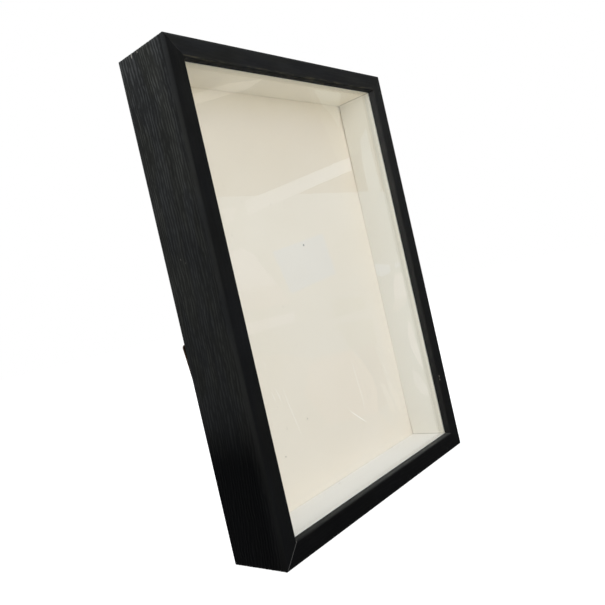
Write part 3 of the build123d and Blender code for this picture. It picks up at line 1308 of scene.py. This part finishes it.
@dataclass
class Liners:
    """The four card liners, with soft cut edges and painted shade that let their seams show, in mm."""

    edge: float = 0.18
    relief: float = 0.03
    fibre_pitch: float = 40.0
    stations: int = 90
    first_seed: float = 51.0
    seed_step: float = 3.1
    ageing_and_light: tuple[tuple[str, Side, AgeingAndLight], ...] = (
        # Painted light: lit tints top and bottom, and the bottom and right liners lighter by the pane
        # against the lip's shade.
        ("top_liner", Side.TOP, AgeingAndLight(tint=-1.0)),
        ("bottom_liner", Side.BOTTOM, AgeingAndLight(tint=1.0, tone=(1.11, 1.0))),
        ("left_liner", Side.LEFT, AgeingAndLight()),
        ("right_liner", Side.RIGHT, AgeingAndLight(
            tone=(1.14, 0.968), sliver_start=(110.0, 0.9), sliver_end=(25.0, 0.6))),
    )

    def section(self, thickness: float, depth: float) -> Section:
        """Draw a strip's section.

        Args:
            thickness: Of the card.
            depth: From the pane to the pinning board.

        Returns:
            The closed outline.
        """
        shape = Section()
        r = self.edge
        shape.arc((r, r), r, 270, 2)
        shape.line((0, depth - r), 7.0)
        shape.arc((r, depth - r), r, 180, 2)
        shape.line((thickness - r, depth), 2.5)
        shape.arc((thickness - r, depth - r), r, 90, 2)
        shape.line((thickness, r), 1.2, relief=1.0, fade=2.0)
        shape.arc((thickness - r, r), r, 0, 2)
        shape.line((r, 0), 2.5)
        return shape

    def build(self, material: bpy.types.Material) -> None:
        """Make the four liners.

        Args:
            material: Their finish.
        """
        for number, (node, side, ageing_and_light) in enumerate(self.ageing_and_light):
            low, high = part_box(node)
            size = (high - low) / MM
            thickness, length = (size.x, size.z) if side.upright else (size.z, size.x)
            outer = Vector(((low.x + high.x) / 2, low.y, (low.z + high.z) / 2))
            outer -= side.inward * thickness / 2 * MM
            Member(
                name=f"{node}_card", side=side, section=self.section(thickness, size.y), ageing_and_light=ageing_and_light,
                length=length, stations=self.stations, relief_depth=self.relief, thickness=thickness,
                rib_pitch=self.fibre_pitch, seed=self.first_seed + self.seed_step * number,
            ).build(node, outer, "liner_card", material)


# ------------------------------------------------------------------ small pieces
@dataclass
class PinScar:
    """The torn rim of paper round the hole that the specimen's pin left, in mm, and tears per mm."""

    x: float = 13.0
    z: float = 187.8
    hole: float = 0.48
    rim: float = 0.10
    raggedness: float = 0.12
    flatness: float = 0.6
    ring_chords: int = 28
    rim_chords: int = 8
    tears: float = 2.6
    seed: float = 4.0

    def build(self, material: bpy.types.Material) -> None:
        """Make the rim.

        Args:
            material: Its finish.
        """
        r = Recipe("pin_scar", Hole_Radius=self.hole, Rim=self.rim, Raggedness=self.raggedness,
                   Seed=self.seed, Material=material)
        circle = "GeometryNodeCurvePrimitiveCircle"
        ring = r.wire(circle, {"Resolution": self.ring_chords, "Radius": r.source["Hole Radius"]})
        rim = r.wire(circle, {"Resolution": self.rim_chords, "Radius": r.source["Rim"]})
        tube = r.wire("GeometryNodeCurveToMesh", {"Curve": ring, "Profile Curve": rim})
        seeded = r.vector(r.source["Seed"], 0.0, 0.0)
        torn = r.noise(r.vectors("ADD", r.wire("GeometryNodeInputPosition"), seeded), self.tears)
        lift = r.times(r.less(torn, 0.5), r.source["Raggedness"])
        moved = {"Geometry": tube, "Offset": r.scaled(r.wire("GeometryNodeInputNormal"), lift)}
        piece = new_piece("pin_scar", bpy.data.meshes.new("pin_scar"))
        r.run(piece, r.wire("GeometryNodeSetPosition", moved))
        upright = Matrix.Rotation(math.radians(90), 4, "X") @ Matrix.Diagonal((1, 1, self.flatness, 1))
        spot = Vector((self.x * MM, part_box("facing_paper")[0].y, self.z * MM))
        place = Matrix.Translation(spot) @ upright @ Matrix.Scale(MM, 4)
        finish_piece(piece, place, Body.BACK, "cream_paper")


@dataclass
class PaneMarks:
    """Hairline scratches on the pane's face: how wide each gets and where it runs across and up, in mm."""

    fineness: float = 3.0
    flatness: float = 0.08
    tip: float = 0.05
    proud: float = 0.04
    runs: tuple[tuple[float, tuple[Pair, ...]], ...] = (
        (0.85, ((-17.8, 67.4), (-12.5, 63.1), (-6.9, 58.5), (-1.4, 54.3))),
        (0.22, ((-20.1, 73.0), (-17.4, 66.9))),
        (0.30, ((-77.4, 100.3), (-75.0, 87.9), (-71.9, 74.8), (-69.5, 66.1))),
        (0.28, ((-87.6, 100.2), (-85.8, 93.2))),
        (0.32, ((-83.9, 101.7), (-80.6, 91.1))),
        (0.38, ((-2.6, 99.5), (-2.3, 92.9), (-1.6, 86.2), (-1.0, 79.5), (0.2, 71.9), (-0.3, 65.5),
                (-0.3, 60.4))),
        (0.62, ((-1.4, 35.6), (2.5, 32.5))),
        (0.24, ((-88.9, 120.3), (-86.9, 113.0))),
        (0.36, ((45.2, 98.1), (46.5, 94.2), (50.4, 91.4))),
        (0.26, ((33.7, 89.4), (37.6, 78.5))),
    )

    def mesh(self) -> bpy.types.Mesh:
        """Draw the scratches as lines whose points know their width.

        Returns:
            The lines' mesh.
        """
        mesh = bpy.data.meshes.new("pane_marks")
        points, edges, widths = [], [], []
        for width, run in self.runs:
            edges += [(len(points) + i, len(points) + i + 1) for i in range(len(run) - 1)]
            points += [Vector((x, 0, z)) * MM for x, z in run]
            widths += [width * MM] * len(run)
        mesh.from_pydata(points, edges, [])
        store_points(mesh, "width", widths)
        return mesh

    def build(self, material: bpy.types.Material) -> None:
        """Make the scratches, tapered to a tip at either end.

        Args:
            material: Their finish.
        """
        r = Recipe("pane_marks", Fineness=self.fineness * MM, Flatness=self.flatness, Tip=self.tip,
                   Material=material)
        lines = r.wire("GeometryNodeMeshToCurve", {0: r.source["Geometry"]})
        spacing = {"Curve": lines, "Length": r.source["Fineness"]}
        share = r.wire("GeometryNodeSplineParameter", out="Factor")
        swell = r.math("POWER", r.math("SINE", r.times(share, math.pi)), 0.5)
        taper = r.math("MAXIMUM", swell, r.source["Tip"])
        # The ring is 1 across, so that the scale is the scratch's width.
        tube = r.wire("GeometryNodeCurveToMesh", {
            "Curve": r.wire("GeometryNodeResampleCurve", spacing, mode="LENGTH"),
            "Profile Curve": r.wire("GeometryNodeCurvePrimitiveCircle", {"Resolution": 6, "Radius": 0.5}),
            "Scale": r.times(r.named("width"), taper),
            "Fill Caps": True,
        })
        flat = {"Geometry": tube, "Scale": r.vector(1.0, r.source["Flatness"], 1.0)}
        piece = new_piece("pane_marks", self.mesh())
        r.run(piece, r.wire("GeometryNodeTransform", flat))
        front = Matrix.Translation((0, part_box("glass_pane")[0].y - self.proud * MM, 0))
        finish_piece(piece, front, Body.CASE, "clear_glass")


@dataclass
class Crumbs:
    """Crumbs of dust on one body, each at its place in mm and of its own size."""

    name: str
    body: Body
    slot: str
    places: tuple[Place, ...]
    radius: float
    seed: int
    least: Place = (0.8, 0.35, 0.7)
    most: Place = (1.2, 0.5, 1.1)

    def build(self, material: bpy.types.Material) -> None:
        """Make the crumbs.

        Args:
            material: Their finish.
        """
        r = Recipe(self.name, Radius=self.radius * MM, Seed=self.seed, Material=material)
        ball = {"Subdivisions": 2, "Radius": r.source["Radius"]}
        sizes = {"Min": self.least, "Max": self.most, "Seed": r.source["Seed"]}
        strewn = r.wire("GeometryNodeInstanceOnPoints", {
            "Points": r.source["Geometry"],
            "Instance": r.wire("GeometryNodeMeshIcoSphere", ball, "Mesh"),
            "Scale": r.wire("FunctionNodeRandomValue", sizes, data_type="FLOAT_VECTOR"),
        })
        mesh = bpy.data.meshes.new(self.name)
        mesh.from_pydata([Vector(place) * MM for place in self.places], [], [])
        piece = new_piece(self.name, mesh)
        r.run(piece, strewn)
        finish_piece(piece, Matrix.Identity(4), self.body, self.slot)


class Fittings:
    """The pieces whose plain solids have the right shape and only need their finish."""

    finishes: dict[str, str] = {
        "glass_pane": "pane",
        "facing_paper": "paper",
        "pinning_board": "foam",
        "backboard": "hardboard",
        "corner_v_nails": "nail",
        "clip_screws": "zinc",
        "sawtooth_hanger": "brass",
        "hanger_brads": "brass",
        "wall_bumpers": "rubber",
    }

    def dress(self, materials: dict[str, bpy.types.Material]) -> None:
        """Give every carried-over solid its finish; the clips that turn are a very dark brown metal.

        Args:
            materials: The finished materials by their finish.
        """
        clips = [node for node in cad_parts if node.startswith("clip_") and node not in self.finishes]
        for node, finish in (self.finishes | dict.fromkeys(clips, "dark_brown")).items():
            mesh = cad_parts[node].data
            mesh.materials.clear()
            mesh.materials.append(materials[finish])
            LOG.info("%s: %s", node, finish)


# ------------------------------------------------------------------ stage
def on_wall(*spots: Pair, y: float = -1.5) -> tuple[Place, ...]:
    """Place corners, given across and up in metres, on the wall that faces the pane, or near it."""
    return tuple((x, y, z) for x, z in spots)


def on_ground(*spots: Pair, z: float = 0.001) -> tuple[Place, ...]:
    """Place corners, given across and back in metres, just over the ground."""
    return tuple((x, y, z) for x, y in spots)


@dataclass(frozen=True)
class MirroredCard:
    """A flat coloured card that only reflected rays meet: how bright it is, and its corners in metres."""

    name: str
    radiance: Colour
    corners: tuple[Place, ...]

    def build(self) -> None:
        """Set the card up."""
        card = sheet(self.name, self.corners)
        material = bpy.data.materials.new(self.name)
        material.use_nodes = True
        material.cycles.emission_sampling = "NONE"
        material.node_tree.nodes.clear()
        b = Board(material.node_tree)
        surface = material.node_tree.nodes.new("ShaderNodeOutputMaterial").inputs["Surface"]
        b.feed(surface, b.wire("ShaderNodeEmission", {"Color": self.radiance}))
        card.data.materials.append(material)
        card.visible_camera = card.visible_diffuse = card.visible_transmission = False
        card.visible_volume_scatter = card.visible_shadow = False
        LOG.info("mirrored: %s", card.name)


@dataclass
class Surroundings:
    """What the pane mirrors: a dim ceiling, a beam, a screen, a curtain, and sheets on the floor."""

    cards: tuple[MirroredCard, ...] = (
        MirroredCard("ceiling", (0.54, 0.36, 0.18), on_wall((0.6, 0.585), (3.4, 0.57), (3.4, 1.9),
            (0.6, 1.9), y=-1.52)),
        MirroredCard("beam", (1.42, 1.4, 1.46), on_wall((1.506, 0.555), (2.318, 0.748), (2.312, 0.683),
            (1.503, 0.496))),
        MirroredCard("beam_end", (1.4, 1.32, 1.4), on_wall((1.37, 0.529), (1.448, 0.531), (1.414, 0.479),
            (1.372, 0.466))),
        MirroredCard("screen", (0.7, 1.0, 1.5), on_wall((1.598, 0.337), (1.959, 0.386), (1.993, 0.195),
            (1.656, 0.151))),
        MirroredCard("curtain", (1.52, 1.4, 1.5), on_wall((1.3, 0.361), (1.433, 0.365), (1.488, 0.339),
            (1.518, 0.287), (1.582, 0.203), (1.3, 0.205))),
        MirroredCard("curtain_hem", (1.25, 1.12, 1.15), on_wall((1.3, 0.205), (1.582, 0.203),
            (1.64, 0.113), (1.3, 0.127))),
        MirroredCard("sill", (1.42, 1.36, 1.48), on_wall((1.3, 0.08), (1.646, 0.074), (1.639, 0.036),
            (1.3, 0.033))),
        MirroredCard("floor_warm", (1.12, 1.02, 0.94), on_ground((1.034, -1.164), (0.736, -0.692),
            (0.803, -0.617), (0.226, -0.17), (0.147, -0.096), (0.027, -0.089), (-0.018, -0.095),
            (0.134, -0.269), z=0.0006)),
        MirroredCard("floor_sheet", (1.34, 1.1, 0.98), on_ground((0.647, -0.619), (0.77, -0.594),
            (0.601, -0.45), (0.444, -0.323), (0.341, -0.247), (0.226, -0.17), (0.182, -0.207),
            (0.349, -0.383))),
        MirroredCard("floor_shade", (0.84, 0.74, 0.7), on_ground((0.857, -0.655), (0.897, -0.623),
            (0.367, -0.245), (0.279, -0.187), (0.226, -0.17), (0.341, -0.247), (0.444, -0.323),
            (0.601, -0.45))),
        MirroredCard("leaf_long", (1.66, 1.54, 1.6), on_ground((1.215, -0.708), (1.12, -0.643),
            (0.821, -0.46), (0.555, -0.296), (0.457, -0.239), (0.522, -0.284), (0.684, -0.391),
            (0.891, -0.519))),
        MirroredCard("leaf_short", (1.45, 1.4, 1.46), on_ground((0.467, -0.264), (0.423, -0.227),
            (0.328, -0.162), (0.285, -0.136), (0.298, -0.153), (0.371, -0.206))),
        MirroredCard("alcove", (0.76, 0.62, 0.4), on_wall((2.102, 1.116), (2.162, 0.942), (2.208, 0.782),
            (2.237, 0.728), (2.412, 0.772), (3.0, 1.1), (2.431, 1.4), y=-1.51)),
        MirroredCard("quad", (1.1, 1.06, 1.0), on_wall((2.532, 0.908), (2.532, 0.79), (2.546, 0.586),
            (2.438, 0.489), (2.418, 0.579), (2.425, 0.735), (2.449, 0.841))),
        MirroredCard("top_strip", (1.7, 1.46, 1.24), on_wall((1.337, 0.972), (1.57, 1.043), (1.79, 1.086),
            (1.679, 1.031), (1.336, 0.932))),
        MirroredCard("top_leaf", (0.18, 0.02, 0.0), on_wall((1.392, 1.008), (1.428, 1.041),
            (1.483, 1.058), (1.524, 1.055), (1.495, 1.024), (1.44, 1.008), y=-1.49)),
        MirroredCard("top_end", (1.26, 1.22, 1.02), on_wall((2.145, 1.076), (2.369, 1.079),
            (2.288, 0.896), (2.236, 0.967), (2.186, 1.0))),
        MirroredCard("side_quad", (1.62, 1.48, 1.52), on_wall((2.486, 0.128), (2.566, 0.131),
            (2.561, 0.001), (2.44, 0.001), (2.449, 0.061))),
        MirroredCard("side_quad_foot", (1.32, 1.22, 1.2), on_ground((2.561, -1.5), (1.958, -1.153),
            (1.621, -0.996), (1.862, -1.161), (2.44, -1.5))),
        MirroredCard("side_box", (1.42, 1.52, 1.78), on_wall((2.324, 0.202), (2.462, 0.184),
            (2.453, 0.143), (2.367, 0.133), (2.323, 0.143))),
        MirroredCard("side_box_end", (1.34, 1.38, 1.58), on_wall((2.51, 0.183), (2.567, 0.183),
            (2.57, 0.161), (2.504, 0.16))),
        MirroredCard("frond_long", (1.26, 1.2, 1.16), on_ground((0.388, -0.272), (0.368, -0.251),
            (0.265, -0.174), (0.217, -0.141), (0.225, -0.152), (0.304, -0.211), z=0.0015)),
        MirroredCard("frond_short", (1.26, 1.22, 1.2), on_ground((0.402, -0.27), (0.388, -0.255),
            (0.279, -0.173), (0.216, -0.132), (0.231, -0.146), z=0.0015)),
        MirroredCard("plant", (0.82, 0.82, 0.72), on_wall((1.905, 0.084), (2.155, 0.059), (2.171, 0.0),
            (1.906, 0.0))),
        MirroredCard("plant_shade", (0.84, 0.84, 0.74), on_ground((1.541, -1.05), (0.792, -0.538),
            (0.77, -0.594), (1.517, -1.203))),
    )

    def build(self) -> None:
        """Set all the cards up."""
        for card in self.cards:
            card.build()


@dataclass(frozen=True)
class Lamp:
    """A soft rectangular lamp: its place, what it faces and its size in metres, and its watts."""

    name: str
    place: Place
    target: Place
    size: Pair
    watts: float
    colour: Colour = WHITE

    def hang(self) -> None:
        """Hang the lamp."""
        data = bpy.data.lights.new(self.name, "AREA")
        data.shape = "RECTANGLE"
        data.size, data.size_y = self.size
        data.energy = self.watts
        data.color = self.colour
        lamp = bpy.data.objects.new(self.name, data)
        lamp.location = self.place
        facing = Vector(self.target) - Vector(self.place)
        lamp.rotation_euler = facing.to_track_quat("-Z", "Y").to_euler()
        bpy.context.scene.collection.objects.link(lamp)


MIDDLE: Place = (0, 0, 0.157)


@dataclass
class Studio:
    """Pale floor, white surround, soft lamps and the camera."""

    camera_place: Place = (-358.71, -286.80, 154.99)
    camera_turn: tuple[float, float, float] = (88.889, 12.921, -50.057)
    lens: float = 37.784
    film: float = 36.0
    floor_size: float = 9.0
    sky_colour: Colour = (0.96, 0.97, 1.0)
    sky_strength: float = 0.42
    lamps: tuple[Lamp, ...] = (
        Lamp("key", (-0.75, -1.5, 0.66), MIDDLE, (1.2, 1.2), 18.5, (1.0, 0.985, 0.96)),
        Lamp("upper", (0.1, -1.0, 1.7), MIDDLE, (1.0, 1.0), 7.0, (0.82, 0.92, 1.0)),
        Lamp("side", (-0.42, 0.16, 0.66), (-0.113, 0, 0.25), (0.3, 0.3), 1.6, (0.95, 0.98, 1.0)),
        Lamp("graze", (-1.5, -0.17, 0.22), (0.1, 0, 0.17), (0.22, 0.5), 2.4),
        Lamp("rear", (0.6, 1.7, 1.1), MIDDLE, (1.2, 1.2), 14.0),
    )

    def camera(self) -> None:
        """Set the camera at the case's left front, rolled a little; its place is in mm."""
        data = bpy.data.cameras.new("camera")
        data.sensor_width = self.film
        data.lens = self.lens
        data.clip_start = 0.01
        rig = bpy.data.objects.new("camera", data)
        rig.location = Vector(self.camera_place) * MM
        rig.rotation_euler = Euler([math.radians(angle) for angle in self.camera_turn])
        bpy.context.scene.collection.objects.link(rig)
        bpy.context.scene.camera = rig

    def world(self) -> None:
        """Make the surround white to the eye and in reflections, and a soft even light otherwise."""
        world = bpy.data.worlds.new("surround")
        bpy.context.scene.world = world
        world.use_nodes = True
        b = Board(world.node_tree)
        sky = world.node_tree.nodes["Background"]
        b.feed(sky.inputs["Color"], self.sky_colour)
        b.feed(sky.inputs["Strength"], self.sky_strength)
        white = b.wire("ShaderNodeBackground", {"Color": WHITE, "Strength": 1.0})
        seen = b.ray("Is Camera Ray", "Is Glossy Ray", "Is Transmission Ray")
        surface = world.node_tree.nodes["World Output"].inputs["Surface"]
        b.feed(surface, b.either(seen, sky.outputs[0], white))

    def floor(self) -> None:
        """Lay the floor under the case."""
        half = self.floor_size / 2
        corners = on_ground((-half, -half), (half, -half), (half, half), (-half, half), z=0)
        floor = sheet("floor", corners)
        floor.data.materials.append(PaleFloor().make())

    def build(self) -> None:
        """Set the whole stage."""
        self.camera()
        self.world()
        self.floor()
        for lamp in self.lamps:
            lamp.hang()
        bpy.context.scene.view_settings.view_transform = "Standard"


def main() -> None:
    """Build and dress the case, then set the stage."""
    logging.basicConfig(level=logging.INFO, format="%(name)s: %(message)s")
    scar = PinScar()
    pin_hole = (scar.x, scar.z)
    wood = BlackGrain().make()
    liner = LinerCard().make()
    paper = FacingPaper(pin_hole=pin_hole).make()
    materials = {
        "pane": ClearPane().make(),
        "paper": paper,
        "foam": Foam(pin_hole=pin_hole).make(),
        "hardboard": Hardboard().make(),
        "nail": Plated(name="nail_steel", bright=(0.42, 0.43, 0.44), dull=(0.20, 0.19, 0.18),
                       roughness=0.38).make(),
        "zinc": Plated(name="zinc_plate", bright=(0.66, 0.66, 0.64), dull=(0.45, 0.45, 0.42),
                       roughness=0.28).make(),
        "brass": Plated(name="brassed_sheet", bright=(0.36, 0.25, 0.11), dull=(0.15, 0.10, 0.05),
                        roughness=0.38).make(),
        # A very dark brown plated metal for the turning clips.
        "dark_brown": Plated(name="dark_brown_sheet", bright=(0.060, 0.034, 0.018), dull=(0.026, 0.015, 0.009),
                          roughness=0.42).make(),
        "rubber": Rubber().make(),
    }
    Mouldings().build(wood)
    Liners().build(liner)
    Fittings().dress(materials)
    scar.build(paper)
    PaneMarks().build(Glint().make())
    grit = Grit().make()
    front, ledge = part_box("facing_paper")[0].y / MM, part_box("bottom_liner")[1].z / MM
    on_paper = ((-56.0, front, 48.3), (-26.5, front, 65.6))
    Crumbs("dust_on_paper", Body.BACK, "cream_paper", on_paper, 0.52, 3).build(grit)
    on_liner = ((-12.9, 10.4, ledge), (65.1, 14.0, ledge))
    Crumbs("dust_on_liner", Body.CASE, "liner_card", on_liner, 0.55, 5).build(grit)
    Surroundings().build()
    Studio().build()


if __name__ == "__main__":
    main()
